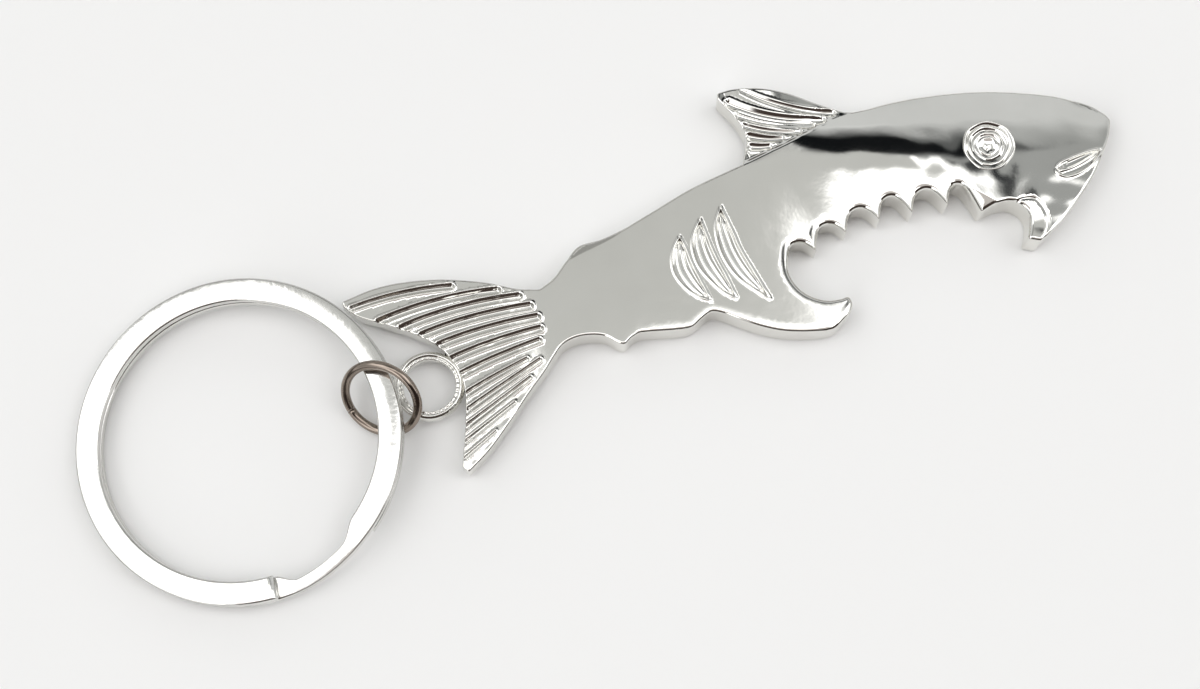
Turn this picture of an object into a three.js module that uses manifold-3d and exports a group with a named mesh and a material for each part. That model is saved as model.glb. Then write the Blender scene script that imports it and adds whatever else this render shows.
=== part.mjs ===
// Souvenir shark bottle opener on a key ring: one plated zinc casting with a cast-on eyelet,
// a round-wire jump ring and a flat-wire split key ring. Millimetres, +Z up, lying on z = 0.
import * as THREE from 'three';
import Module from 'manifold-3d';
import { mergeVertices } from 'three/addons/utils/BufferGeometryUtils.js';

// ---- driving dimensions ----
const castingLength = 80.4;      // upper tail tip to nose
const castingThickness = 3.6;    // the flat plate, and so the cap-lifting edges
const finThickness = 2.4;        // dorsal fin and tail, centred on the plate
const plateBevel = 0.2;
const finBevel = 0.25;
const headRise = 0.7;            // how far the cheek bulges above the plate
const eyeDiameter = 5.2;
const eyeRise = 0.3;             // eye rim above the cheek
const reliefDepth = 0.45;        // gill slits and mouth
const grooveDepth = 0.35;        // fin rays
const eyeletHole = 5.2;
const eyeletBand = 0.95;
const eyeletThickness = 1.5;
const eyeletSink = 0.45;         // how far the eyelet runs into the fork of the tail
const jumpRingDiameter = 8.6;    // outside
const jumpWire = 0.9;
const jumpButtGap = 0.15;
const jumpHeading = THREE.MathUtils.degToRad(46);    // direction of the ring's high side
const keyRingDiameter = 32.6;    // outside
const keyWireWidth = 2.35;
const keyWireHeight = 0.95;
const coilGap = 0.1;             // between the two turns
const jogWireWidth = 1.3;        // the wire where it steps from one turn to the other
const jogStart = THREE.MathUtils.degToRad(-94);
const jogEnd = THREE.MathUtils.degToRad(-54);
const tailClearance = 0.35;      // key ring to the tip of the upper tail lobe, in plan
const threadClearance = 0.2;     // over and under the bands that the jump ring threads
const bandRise = 0.15;           // key ring's middle above the jump ring's, where they cross

// ---- finishes ----
const platedZinc = { color: 0xb9bab6, roughness: 0.12, metalness: 1 };
const polishedWire = { color: 0x8f8a82, roughness: 0.18, metalness: 1 };
const platedSteel = { color: 0xc4c4c1, roughness: 0.15, metalness: 1 };

// ---- solids ----
const wasm = await Module();
wasm.setup();

function toSolid(geometry) {
  const bare = geometry.index ? geometry.toNonIndexed() : geometry.clone();
  for (const name of Object.keys(bare.attributes)) {
    if (name !== 'position') bare.deleteAttribute(name);
  }
  const merged = mergeVertices(bare, 1e-5);
  const mesh = new wasm.Mesh({
    numProp: 3,
    vertProperties: new Float32Array(merged.attributes.position.array),
    triVerts: new Uint32Array(merged.index.array),
  });
  return new wasm.Manifold(mesh);
}

function toGeometry(solid) {
  const mesh = solid.getMesh();
  const geometry = new THREE.BufferGeometry();
  geometry.setAttribute('position', new THREE.BufferAttribute(mesh.vertProperties, 3));
  geometry.setIndex(new THREE.BufferAttribute(mesh.triVerts, 1));
  geometry.computeVertexNormals();
  return geometry;
}

function namedMesh(name, geometry, finish) {
  const mesh = new THREE.Mesh(geometry, new THREE.MeshStandardMaterial(finish));
  mesh.name = name;
  return mesh;
}

// ---- casting: plan outlines, drawn at the length of 80.4 and scaled to castingLength ----
const drawnLength = 80.4;
const planScale = castingLength / drawnLength;
const plan = ([x, y]) => new THREE.Vector2(x * planScale, y * planScale);
const midHeight = castingThickness / 2;

// Smooth runs joined at corners: each run starts where the last one ended, and a run of
// one point is a straight edge.
function addRuns(shape, runs) {
  for (const run of runs) {
    const points = run.map(plan);
    if (points.length > 1) shape.splineThru(points);
    else shape.lineTo(points[0].x, points[0].y);
  }
}

function openOutline(start, runs) {
  const shape = new THREE.Shape();
  const first = plan(start);
  shape.moveTo(first.x, first.y);
  addRuns(shape, runs);
  return shape;
}

function outline(start, runs) {
  const shape = openOutline(start, runs);
  shape.closePath();
  return shape;
}

// A slab centred on the casting's mid height, with its outline kept at full size.
function slab(shape, thickness, bevel, curveSegments = 3) {
  const geometry = new THREE.ExtrudeGeometry(shape, {
    depth: thickness - 2 * bevel,
    bevelEnabled: true,
    bevelThickness: bevel,
    bevelSize: bevel,
    bevelOffset: -bevel,
    bevelSegments: 1,
    curveSegments,
  });
  geometry.translate(0, 0, midHeight - thickness / 2 + bevel);
  return toSolid(geometry);
}

function prism(shape, low, high) {
  const geometry = new THREE.ExtrudeGeometry(shape, {
    depth: high - low, bevelEnabled: false, curveSegments: 3,
  });
  geometry.translate(0, 0, low);
  return toSolid(geometry);
}

const toothTips = [
  [23.9, -6.5], [20.95, -4.7], [17.3, -4.25], [14.0, -3.7], [10.35, -3.8], [6.8, -4.5], [3.75, -4.5],
];
const toothValleys = [
  [22.6, -2.95], [19.2, -2.3], [15.7, -1.75], [12.25, -1.75], [8.65, -2.2], [5.1, -3.0],
];

// Half a scallop: leaves the tip steeply and arrives flat at the valley, or the reverse.
function scallopSide(shape, tip, valley, leavingTip) {
  const [t, v] = [plan(tip), plan(valley)];
  const nearTip = [t.x + 0.3 * (v.x - t.x), t.y + 0.55 * (v.y - t.y)];
  const nearValley = [v.x - 0.55 * (v.x - t.x), v.y];
  if (leavingTip) shape.bezierCurveTo(...nearTip, ...nearValley, v.x, v.y);
  else shape.bezierCurveTo(...nearValley, ...nearTip, t.x, t.y);
}

function bodyOutline() {
  const back = [
    [-19, 1.9], [-17.3, 3.1], [-15.5, 4.2], [-13.2, 4.1], [-11, 4.3], [-7.5, 5], [-2.8, 6],
    [3, 6.6], [10, 7.4], [15.4, 8.1], [19, 8.1], [23.3, 7.6], [28.3, 6.4], [33.2, 4.5],
    [36.8, 2.6], [39.3, 0.6], [40.4, -0.9],
  ];
  const brow = [[40.5, -1.7], [39.6, -3.2], [38.2, -4.8], [36.4, -6.6], [34, -8.4], [31.3, -10.1], [28.2, -11.45]];
  const hookInside = [[27.9, -9.5], [28.3, -8.4], [28, -7.4], [27.1, -6.55], [25.6, -6.3], toothTips[0]];
  const throat = [[3.4, -5.6], [3.5, -6.8], [4, -8], [4.9, -9], [6.1, -9.7], [7.3, -9.95]];
  const lip = [[8.1, -10], [8.2, -10.9], [7.6, -11.6], [6.6, -12.2], [5.6, -12.65], [4.6, -12.6]];
  const belly = [
    [2.1, -11.8], [0.3, -11], [-1.4, -9.9], [-3, -8.6], [-4.5, -7.3], [-5.4, -6.85], [-6.5, -7.15],
    [-7.8, -7.65], [-9.5, -7.35], [-11.4, -6.8], [-12.9, -6.4],
  ];
  const ventralNotch = [[-13.8, -6.6], [-14.7, -7], [-15.4, -6.5], [-16.2, -5.6], [-17.4, -5],
    [-19, -4.7], [-20.5, -4.95], [-21.6, -5.7], [-22.9, -6.75]];
  const tailRoot = [[-22.7, -4], [-22.1, -2], [-21.7, 0]];

  const shape = openOutline([-20.7, 1.3], [back, brow, [[27.3, -11.35]], [[27.15, -10.7]], hookInside]);
  toothValleys.forEach((valley, i) => {
    scallopSide(shape, toothTips[i], valley, true);
    scallopSide(shape, toothTips[i + 1], valley, false);
  });
  addRuns(shape, [throat, lip, belly, ventralNotch, [[-23.3, -5.9]], tailRoot]);
  shape.closePath();
  return shape;
}

const upperLobeTip = [-39.8, 6.5];

function tailOutline() {
  const upperLeading = [[-21, 1.2], [-22.8, 2.2], [-25, 3.7], [-27, 4.75], [-30, 6], [-33.4, 6.9], [-36.2, 7.25], [-39.7, 7.1]];
  const trailing = [
    [-38.7, 5], [-36, 3], [-33.2, 0.6], [-31.8, -1.3], [-31, -4], [-31.1, -5.6], [-31.5, -7.2],
    [-32.7, -10.3], [-33.9, -13.1],
  ];
  const lowerLeading = [[-30.8, -12.4], [-27.8, -10.3], [-25.3, -8.4], [-24, -7.4]];
  return outline([-19, 0.5], [
    upperLeading, [upperLobeTip], trailing, [[-33.5, -13.85]], lowerLeading, [[-20, -3]],
  ]);
}

function dorsalOutline() {
  const rear = [[3.9, 7.9], [4.5, 9.3], [4.5, 10.5], [4, 12.3], [3.2, 14.2]];
  const leading = [[5.1, 14.7], [7.9, 13.8], [10.6, 12.2], [13.1, 10.2], [15.4, 8.1]];
  return outline([3.5, 5], [rear, [[3.5, 14.8]], leading, [[15.4, 6]]]);
}

// The cheek: a low ellipsoid over the head, kept inside the body's outline.
function cheek() {
  const [halfLength, halfWidth] = [22, 11.5];
  const geometry = new THREE.SphereGeometry(1, 40, 20);
  geometry.scale(halfLength * planScale, halfWidth * planScale, midHeight + headRise);
  geometry.rotateZ(THREE.MathUtils.degToRad(-9));
  const centre = plan([24.5, 0.6]);
  geometry.translate(centre.x, centre.y, midHeight);
  return toSolid(geometry).intersect(prism(bodyOutline(), midHeight, castingThickness + headRise + 1));
}

const eyeCentre = plan([27.2, -0.35]);
const cheekTop = castingThickness + headRise;

// The eye: a round boss with a raised rim, a ringed iris and a flat pupil.
function eye() {
  const r = eyeDiameter / 2;
  const seat = cheekTop - 0.15;
  const top = cheekTop + eyeRise;
  const profile = [
    [0, midHeight], [r, midHeight], [r, cheekTop], [r - 0.25, top], [r - 0.6, top], [r - 0.85, seat],
    [0.6 * r, seat], [0.54 * r, top - 0.1], [0.46 * r, top - 0.1], [0.4 * r, seat],
    [0.34 * r, seat], [0.28 * r, top], [0, top],
  ];
  const geometry = new THREE.LatheGeometry(profile.map(([x, y]) => new THREE.Vector2(x, y)), 36);
  geometry.rotateX(Math.PI / 2);
  geometry.translate(eyeCentre.x, eyeCentre.y, 0);
  return toSolid(geometry);
}

// Gill slits lean back like brackets: upper tip, lower tip and how far the slit swells.
const gillSlits = [
  { top: [-5.6, 1.7], bottom: [-5, -5.7], swell: 2 },
  { top: [-3, 2.6], bottom: [-2.5, -6.3], swell: 2.2 },
  { top: [-0.6, 3.1], bottom: [0.6, -7.5], swell: 2.3 },
];

function gillShape({ top, bottom, swell }) {
  const [t, b] = [plan(top), plan(bottom)];
  const middle = t.clone().add(b).multiplyScalar(0.5);
  const shape = new THREE.Shape();
  shape.moveTo(t.x, t.y);
  shape.quadraticCurveTo(middle.x - 2 * swell, middle.y, b.x, b.y);
  shape.quadraticCurveTo(middle.x - 0.35 * swell, middle.y, t.x, t.y);
  return shape;
}

function mouthShape() {
  return outline([32.5, -5.6], [[[34, -4.9], [36, -4.75], [37.4, -5]], [[36, -5.7], [34, -6.3], [32.5, -5.6]]]);
}

// The crescent lip inside the nose hook.
function lipRidgeShape() {
  return outline([27.6, -7], [
    [[28.8, -6.6], [29.7, -7.4], [30, -8.8], [29.5, -10.4]],
    [[29.4, -8.9], [29.1, -7.8], [28.4, -7.3], [27.6, -7]],
  ]);
}

// Fin rays as V cuts: root end and free end of each.
const tailRays = [
  [[-28.5, 4.7], [-38.6, 6.1]], [[-24.9, 2.7], [-36.2, 3.9]], [[-22.8, 0.8], [-34.2, 2.2]],
  [[-22.6, -0.5], [-32.6, 0.4]], [[-22.6, -1.8], [-31.4, -1.5]], [[-22.7, -3.1], [-30.8, -3.1]],
  [[-22.9, -4.1], [-30.8, -5.2]], [[-23.2, -5], [-31.2, -7.1]], [[-23.8, -6], [-31.9, -9.1]],
  [[-25, -7.4], [-32.9, -11.8]],
];
const dorsalRays = [
  [[5.8, 14], [13.4, 9]], [[4.1, 13.5], [12.4, 8.7]], [[4.8, 11.8], [11, 8.5]],
  [[5, 10.3], [9.4, 8.2]], [[5.1, 9], [7.8, 8]],
];

function rayCut([from, to], height) {
  const [a, b] = [plan(from), plan(to)];
  const side = grooveDepth * Math.SQRT2;
  const geometry = new THREE.BoxGeometry(a.distanceTo(b), side, side);
  geometry.rotateX(Math.PI / 4);
  geometry.rotateZ(Math.atan2(b.y - a.y, b.x - a.x));
  geometry.translate((a.x + b.x) / 2, (a.y + b.y) / 2, height);
  return toSolid(geometry);
}

// The eyelet stands in the fork of the tail, at mid height.
const forkEdge = plan([-31.05, -3.95]);
const eyeletOuter = eyeletHole / 2 + eyeletBand;
const eyeletCentre = new THREE.Vector3(forkEdge.x - eyeletOuter + eyeletSink, forkEdge.y, midHeight);

function eyelet() {
  const [inner, outer, half, chamfer] = [eyeletHole / 2, eyeletOuter, eyeletThickness / 2, 0.22];
  const profile = [
    [inner, -half + chamfer], [inner + chamfer, -half], [outer - chamfer, -half], [outer, -half + chamfer],
    [outer, half - chamfer], [outer - chamfer, half], [inner + chamfer, half], [inner, half - chamfer],
    [inner, -half + chamfer],
  ];
  const geometry = new THREE.LatheGeometry(profile.map(([x, y]) => new THREE.Vector2(x, y)), 44);
  geometry.rotateX(Math.PI / 2);
  geometry.translate(eyeletCentre.x, eyeletCentre.y, eyeletCentre.z);
  return toSolid(geometry);
}

function casting() {
  const finTop = midHeight + finThickness / 2;
  const finBottom = midHeight - finThickness / 2;
  let fins = slab(tailOutline(), finThickness, finBevel).add(slab(dorsalOutline(), finThickness, finBevel));
  for (const ray of [...tailRays, ...dorsalRays]) {
    fins = fins.subtract(rayCut(ray, finTop)).subtract(rayCut(ray, finBottom));
  }
  const plateTop = castingThickness;
  let body = slab(bodyOutline(), castingThickness, plateBevel).add(cheek());
  for (const slit of gillSlits) {
    body = body.subtract(prism(gillShape(slit), plateTop - reliefDepth, plateTop + 1));
    body = body.subtract(prism(gillShape(slit), -1, reliefDepth));
  }
  body = body.subtract(prism(mouthShape(), plateTop - 0.1, plateTop + headRise + 1));
  body = body.add(prism(lipRidgeShape(), midHeight, plateTop + 0.25));
  return body.add(eye()).add(fins).add(eyelet());
}

// ---- rings: a bar bent round by formula ----
function bend(bar, place) {
  const position = bar.attributes.position;
  const point = new THREE.Vector3();
  for (let i = 0; i < position.count; i += 1) {
    point.fromBufferAttribute(position, i);
    const bent = place(point);
    position.setXYZ(i, bent.x, bent.y, bent.z);
  }
  return toGeometry(toSolid(bar));
}

const jumpRadius = (jumpRingDiameter - jumpWire) / 2;

// Round wire closed to a butt joint, flat in its own XY plane.
function jumpRingGeometry() {
  const sweep = 2 * Math.PI - jumpButtGap / jumpRadius;
  const bar = new THREE.CylinderGeometry(jumpWire / 2, jumpWire / 2, sweep, 12, 60);
  return bend(bar, (p) => {
    const angle = p.y + Math.PI;
    const radius = jumpRadius + p.x;
    return new THREE.Vector3(-radius * Math.cos(angle), -radius * Math.sin(angle), p.z);
  });
}

const stackHeight = 2 * keyWireHeight + coilGap;
const keyOuter = keyRingDiameter / 2;
const keyMiddle = keyOuter - keyWireWidth / 2;

// Flat wire wound nearly twice: lower turn, a step up through the jog, then the upper turn.
function keyRingGeometry() {
  const turn = 2 * Math.PI;
  const last = jogStart + turn;
  const sweep = 2 * turn - (jogEnd - jogStart);
  const level = (stackHeight - keyWireHeight) / 2;
  const bar = new THREE.BoxGeometry(keyWireWidth, keyWireHeight, sweep, 1, 1, 170);
  return bend(bar, (p) => {
    const angle = last - (p.z + sweep / 2);
    const rise = THREE.MathUtils.smoothstep(angle, jogStart, jogEnd);
    const necking = THREE.MathUtils.smoothstep(angle, jogStart, jogStart + 0.15)
      * (1 - THREE.MathUtils.smoothstep(angle, jogEnd - 0.2, jogEnd));
    const width = keyWireWidth + (jogWireWidth - keyWireWidth) * necking;
    const fromOutside = (keyWireWidth / 2 - p.x) / keyWireWidth;
    const radius = keyOuter - width * fromOutside;
    return new THREE.Vector3(radius * Math.cos(angle), radius * Math.sin(angle), p.y + level * (2 * rise - 1));
  });
}

// The jump ring threads the eyelet at its free side. It leans so that its wire passes under
// the eyelet and the key ring on its low side and over both of them on its high side.
const eyeletBandMiddle = (eyeletOuter + eyeletHole / 2) / 2;
const jumpLift = (eyeletThickness + stackHeight) / 2 + jumpWire + threadClearance;
const jumpTilt = Math.asin(jumpLift / jumpRadius);
const jumpCentre = new THREE.Vector3(
  eyeletCentre.x - eyeletBandMiddle - 0.49 * jumpRadius,
  eyeletCentre.y,
  eyeletCentre.z + 0.625 * jumpLift,
);
const jumpNormal = new THREE.Vector3(
  -Math.sin(jumpTilt) * Math.cos(jumpHeading),
  -Math.sin(jumpTilt) * Math.sin(jumpHeading),
  Math.cos(jumpTilt),
);

// The key ring lies with its far side on the ground and its near side up in the jump ring,
// beside the upper lobe of the tail.
const bandOffset = 0.17 * jumpRadius;
const keyReach = keyMiddle - bandOffset;
const keyLean = Math.asin((jumpCentre.z + bandRise - stackHeight / 2) / (keyOuter + keyReach));
const keyX = jumpCentre.x - keyReach;
const lobeTip = plan(upperLobeTip);
const besideTail = lobeTip.y - Math.sqrt((keyOuter + tailClearance) ** 2 - (lobeTip.x - keyX) ** 2);
const keyCentre = new THREE.Vector3(
  keyX,
  Math.min(jumpCentre.y + 0.36 * jumpRadius, besideTail),
  keyOuter * Math.sin(keyLean) + (stackHeight / 2) * Math.cos(keyLean),
);

const shark = namedMesh('shark_opener_casting', toGeometry(casting()), platedZinc);

const jumpRing = namedMesh('jump_ring', jumpRingGeometry(), polishedWire);
jumpRing.position.copy(jumpCentre);
jumpRing.quaternion.setFromUnitVectors(new THREE.Vector3(0, 0, 1), jumpNormal);

const keyRing = namedMesh('split_key_ring', keyRingGeometry(), platedSteel);
keyRing.position.copy(keyCentre);
keyRing.rotation.y = -keyLean;

// The origin is under the middle of the whole object.
const group = new THREE.Group();
group.add(shark, jumpRing, keyRing);
const extent = new THREE.Box3().setFromObject(group, true);
const middle = extent.getCenter(new THREE.Vector3());
group.position.set(-middle.x, -middle.y, -extent.min.z);

export default group;
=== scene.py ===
# %% [markdown]
# A souvenir bottle opener: a shark cast in zinc and plated bright, on a jump ring and a split key
# ring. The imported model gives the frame: three bodies joined by two hinges. Each finished piece
# below rides on one of those bodies. Three stand for the plain solids that the simulation uses; the
# eye and the eyelet are added detail.

# %% The frame
import math

import bpy
import numpy as np
from mathutils import Matrix, Vector, kdtree
from mathutils.geometry import delaunay_2d_cdt


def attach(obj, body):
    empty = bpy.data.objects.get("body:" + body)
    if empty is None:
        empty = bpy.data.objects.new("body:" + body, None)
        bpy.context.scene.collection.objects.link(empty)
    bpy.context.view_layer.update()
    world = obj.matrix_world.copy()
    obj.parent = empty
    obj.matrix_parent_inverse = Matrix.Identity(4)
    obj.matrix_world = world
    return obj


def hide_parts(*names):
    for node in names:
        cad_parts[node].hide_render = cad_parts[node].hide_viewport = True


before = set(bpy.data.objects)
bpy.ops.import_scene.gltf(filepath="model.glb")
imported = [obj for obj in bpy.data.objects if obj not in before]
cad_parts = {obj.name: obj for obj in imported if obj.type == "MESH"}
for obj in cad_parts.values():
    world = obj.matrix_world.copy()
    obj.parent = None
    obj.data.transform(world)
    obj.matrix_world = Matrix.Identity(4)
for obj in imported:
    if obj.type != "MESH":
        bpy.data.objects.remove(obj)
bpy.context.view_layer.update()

# %% [markdown]
# The camera looks down at the opener from almost straight above, a little from the tail's side, turned so
# that the shark climbs to the right. It is a normal lens about 20 cm away, so that the near parts are only
# slightly larger than the far ones. A tilt from straight down and a turn about the vertical say it all.

# %% The camera
MM = 0.001


def aim_camera(place, tilt, turn, lens):
    data = bpy.data.cameras.new("camera")
    data.lens = lens
    data.sensor_width = 36.0
    data.clip_start = 0.01
    camera = bpy.data.objects.new("camera", data)
    bpy.context.scene.collection.objects.link(camera)
    camera.location = Vector(place) * MM
    camera.rotation_euler = (math.radians(tilt), 0.0, math.radians(turn))
    return camera


camera = aim_camera(place=(-18.97, -49.4, 190.8), tilt=14.48, turn=-20.14, lens=58.5)
bpy.context.scene.camera = camera
bpy.context.scene.view_settings.view_transform = "Standard"
print("camera at", tuple(camera.location), "lens", camera.data.lens)

# %% [markdown]
# The casting is a flat plate with a soft relief, pressed by a two-part mould. Pushing faces about
# by hand can't give such a relief cleanly, because every slot and flute would leave its own shading
# seam, and a mirror finish shows each one. So the mould maker's way is followed: draw the outline and
# the lines of the relief, give the height at each point, and cover it all with one fine mesh.
# The lines are drawn in millimetres, from an origin near the middle of the shark.

# %% Drawing lines
DRAWING_SHIFT = np.array([14.681, 2.169])   # the drawing's origin, in the frame


def curve(points, step=0.1):
    """A smooth line through the points, sampled about every step millimetres."""
    p = np.array(points, float)
    if len(p) == 2:
        p = np.array([p[0], p.mean(axis=0), p[1]])
    p = np.vstack([2 * p[0] - p[1], p, 2 * p[-1] - p[-2]])
    out = [p[1]]
    for a, b, c, d in zip(p, p[1:], p[2:], p[3:]):
        k = np.cumsum([0.0] + [max(np.linalg.norm(v - u), 1e-6) ** 0.5 for u, v in ((a, b), (b, c), (c, d))])
        n = max(1, math.ceil(np.linalg.norm(c - b) / step))
        t = k[1] + (k[2] - k[1]) * np.linspace(0, 1, n + 1)[1:, None]
        ab = (a * (k[1] - t) + b * (t - k[0])) / (k[1] - k[0])
        bc = (b * (k[2] - t) + c * (t - k[1])) / (k[2] - k[1])
        cd = (c * (k[3] - t) + d * (t - k[2])) / (k[3] - k[2])
        abc = (ab * (k[2] - t) + bc * (t - k[0])) / (k[2] - k[0])
        bcd = (bc * (k[3] - t) + cd * (t - k[1])) / (k[3] - k[1])
        out.extend((abc * (k[2] - t) + bcd * (t - k[1])) / (k[2] - k[1]))
    return np.array(out)


def bezier(a, b, c, d, n=14):
    t = np.linspace(0, 1, n + 1)[:, None]
    a, b, c, d = (np.array(v, float) for v in (a, b, c, d))
    return a * (1 - t) ** 3 + 3 * b * t * (1 - t) ** 2 + 3 * c * t * t * (1 - t) + d * t ** 3


def through(x, xs, ys):
    """A value that runs smoothly through the given ones, level beyond both ends."""
    xs, ys = np.array(xs, float), np.array(ys, float)
    slope = np.gradient(ys, xs)
    slope[0] = slope[-1] = 0.0
    x = np.clip(x, xs[0], xs[-1])
    i = np.clip(np.searchsorted(xs, x) - 1, 0, len(xs) - 2)
    h = xs[i + 1] - xs[i]
    t = (x - xs[i]) / h
    return (ys[i] * (1 + 2 * t) * (1 - t) ** 2 + ys[i + 1] * t * t * (3 - 2 * t)
            + h * slope[i] * t * (1 - t) ** 2 - h * slope[i + 1] * t * t * (1 - t))


def ramp(x, low, high):
    """Rises smoothly from 0 at low to 1 at high."""
    t = np.clip((x - low) / (high - low), 0, 1)
    return t * t * (3 - 2 * t)


def bell(x, middle, width):
    """A rounded bump: 1 at the middle, next to nothing two widths away."""
    return np.exp(-(((x - middle) / width) ** 2))


def unit(vectors):
    return vectors / np.linalg.norm(vectors, axis=1)[:, None]


def lengthwise(line):
    """The distance along the line at each of its points."""
    return np.concatenate([[0], np.cumsum(np.linalg.norm(np.diff(line, axis=0), axis=1))])


print("a curve over 10 mm has", len(curve([(0, 0), (5, 2), (10, 0)])), "points")

# %% [markdown]
# The outline goes once round the shark: along the back and the dorsal fin to the nose, down the brow
# to the hook, back along the row of teeth into the throat, round the lower jaw, along the belly, and
# round the two lobes of the tail. Each stretch has its own edge: the teeth are rounded most, because
# they were polished, and the fins least. A little smoothing stands for the mould's worn corners.

# %% The outline
BACK_REAR = [(-20.7, 1.3), (-19, 1.9), (-17.3, 3.1), (-15.5, 4.2), (-13.2, 4.1), (-11, 4.3),
             (-7.5, 5), (-2.8, 6), (3.1, 6.65)]
DORSAL_REAR = [(3.1, 6.65), (3.9, 7.9), (4.5, 9.3), (4.5, 10.5), (4, 12.3), (3.2, 14.2)]
DORSAL_FRONT = [(3.5, 14.8), (5.1, 14.7), (7.9, 13.8), (10.6, 12.2), (13.1, 10.2), (15.4, 8.5), (17.4, 8.15)]
BACK_FRONT = [(17.4, 8.15), (20, 8.05), (23.3, 7.6), (28.3, 6.4), (33.2, 4.5), (36.8, 2.6), (39.3, 0.6),
              (40.4, -0.9)]
BROW = [(40.5, -1.7), (39.6, -3.2), (38.2, -4.8), (36.4, -6.6), (34, -8.4), (31.3, -10.1), (28.2, -11.45)]
HOOK_INSIDE = [(27.15, -10.7), (27.9, -9.5), (28.3, -8.4), (28, -7.4), (27.1, -6.55), (25.6, -6.3),
               (23.9, -6.5)]
TOOTH_TIPS = [(23.9, -6.5), (20.95, -4.7), (17.3, -4.25), (14, -3.7), (10.35, -3.8), (6.8, -4.5),
              (3.75, -4.5)]
TOOTH_VALLEYS = [(22.6, -2.95), (19.2, -2.3), (15.7, -1.75), (12.25, -1.75), (8.65, -2.2), (5.1, -3.0)]
THROAT = [(3.75, -4.5), (3.4, -5.6), (3.5, -6.8), (4, -8), (4.9, -9), (6.1, -9.7), (7.3, -9.95)]
LIP = [(7.3, -9.95), (8.1, -10), (8.2, -10.9), (7.6, -11.6), (6.6, -12.2), (5.6, -12.65), (4.6, -12.6)]
BELLY = [(4.6, -12.6), (2.1, -11.8), (0.3, -11), (-1.4, -9.9), (-3, -8.6), (-4.5, -7.3), (-5.4, -6.85),
         (-6.5, -7.15), (-7.8, -7.65), (-9.5, -7.35), (-11.4, -6.8), (-12.9, -6.4)]
TAIL_STALK = [(-12.9, -6.4), (-13.8, -6.6), (-14.7, -7), (-15.4, -6.5), (-16.2, -5.6), (-17.4, -5),
              (-19, -4.7), (-20.5, -4.95), (-21.6, -5.7), (-22.9, -6.75), (-25.3, -8.4), (-27.8, -10.3),
              (-30.8, -12.4), (-33.5, -13.8)]
TAIL_TRAILING = [(-33.9, -13.1), (-32.7, -10.3), (-31.5, -7.2), (-31.1, -5.6), (-31, -4), (-31.8, -1.3),
                 (-33.2, 0.6), (-36, 3), (-38.7, 5), (-39.8, 6.5)]
TAIL_LEADING = [(-39.7, 7.05), (-36.2, 7.25), (-33.4, 6.9), (-30, 6), (-27, 4.75), (-25, 3.7),
                (-22.8, 2.2), (-20.7, 1.3)]


def tooth_side(start, end, tip_first):
    tip, valley = (start, end) if tip_first else (end, start)
    dx, dy = valley[0] - tip[0], valley[1] - tip[1]
    near_tip = (tip[0] + 0.3 * dx, tip[1] + 0.55 * dy)
    near_valley = (valley[0] - 0.55 * dx, valley[1])
    line = bezier(tip, near_tip, near_valley, valley)
    return line if tip_first else line[::-1]


def teeth_line():
    line = []
    for k, valley in enumerate(TOOTH_VALLEYS):
        line.extend(tooth_side(TOOTH_TIPS[k], valley, True))
        line.extend(tooth_side(valley, TOOTH_TIPS[k + 1], False))
    return np.array(line)


# Each stretch with the radius of its upper edge, and how far the face sinks towards it
STRETCHES = [
    (curve(BACK_REAR), 0.22, 0.0), (curve(DORSAL_REAR), 0.2, 0.0), (curve(DORSAL_FRONT), 0.2, 0.0),
    (curve(BACK_FRONT), 0.25, 0.0), (curve(BROW), 0.3, 0.0), (curve(HOOK_INSIDE), 0.4, 0.0),
    (teeth_line(), 0.42, 0.08), (curve(THROAT), 0.42, 0.035), (curve(LIP), 0.42, 0.05),
    (curve(BELLY), 0.3, 0.012), (curve(TAIL_STALK), 0.26, 0.0), (curve(TAIL_TRAILING), 0.16, 0.0),
    (curve(TAIL_LEADING), 0.2, 0.0),
]
DRAWN_STEP, OUTLINE_STEP = 0.035, 0.14      # between points: while smoothing, and in the mesh


def along(points, values, step):
    """The closed line again at even steps, with its values."""
    closed = np.vstack([points, points[:1]])
    run = lengthwise(closed)
    s = np.linspace(0, run[-1], round(run[-1] / step), endpoint=False)
    xy = np.stack([np.interp(s, run, closed[:, k]) for k in (0, 1)], axis=1)
    return xy, [np.interp(s, run, np.append(v, v[0])) for v in values]


def soften(values, width):
    """Values of a closed line averaged over about width of their neighbours."""
    reach = int(3 * width) + 1
    k = np.arange(-reach, reach + 1)
    weight = np.exp(-0.5 * (k / width) ** 2)
    weight /= weight.sum()
    return sum(w * np.roll(values, -j, axis=0) for j, w in zip(k, weight))


def draw_outline():
    points = np.vstack([s[0][:-1] for s in STRETCHES])
    radius = np.concatenate([np.full(len(s[0]) - 1, s[1]) for s in STRETCHES])
    sink = np.concatenate([np.full(len(s[0]) - 1, s[2]) for s in STRETCHES])
    fine, (radius, sink) = along(points, (radius, sink), DRAWN_STEP)
    fine = soften(fine, 3.5)
    return along(fine, (soften(radius, 20), soften(sink, 25)), OUTLINE_STEP)


outline, (edge_radius, edge_sink) = draw_outline()
print("outline of", len(outline), "points, from", outline.min(axis=0), "to", outline.max(axis=0))

# %% [markdown]
# To round an edge or sink a slot, the height needs to know how far each point is from a line. A
# k-d tree finds the nearest drawn point, and the two short pieces of line beside it give the rest.

# %% Distances to a line


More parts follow.
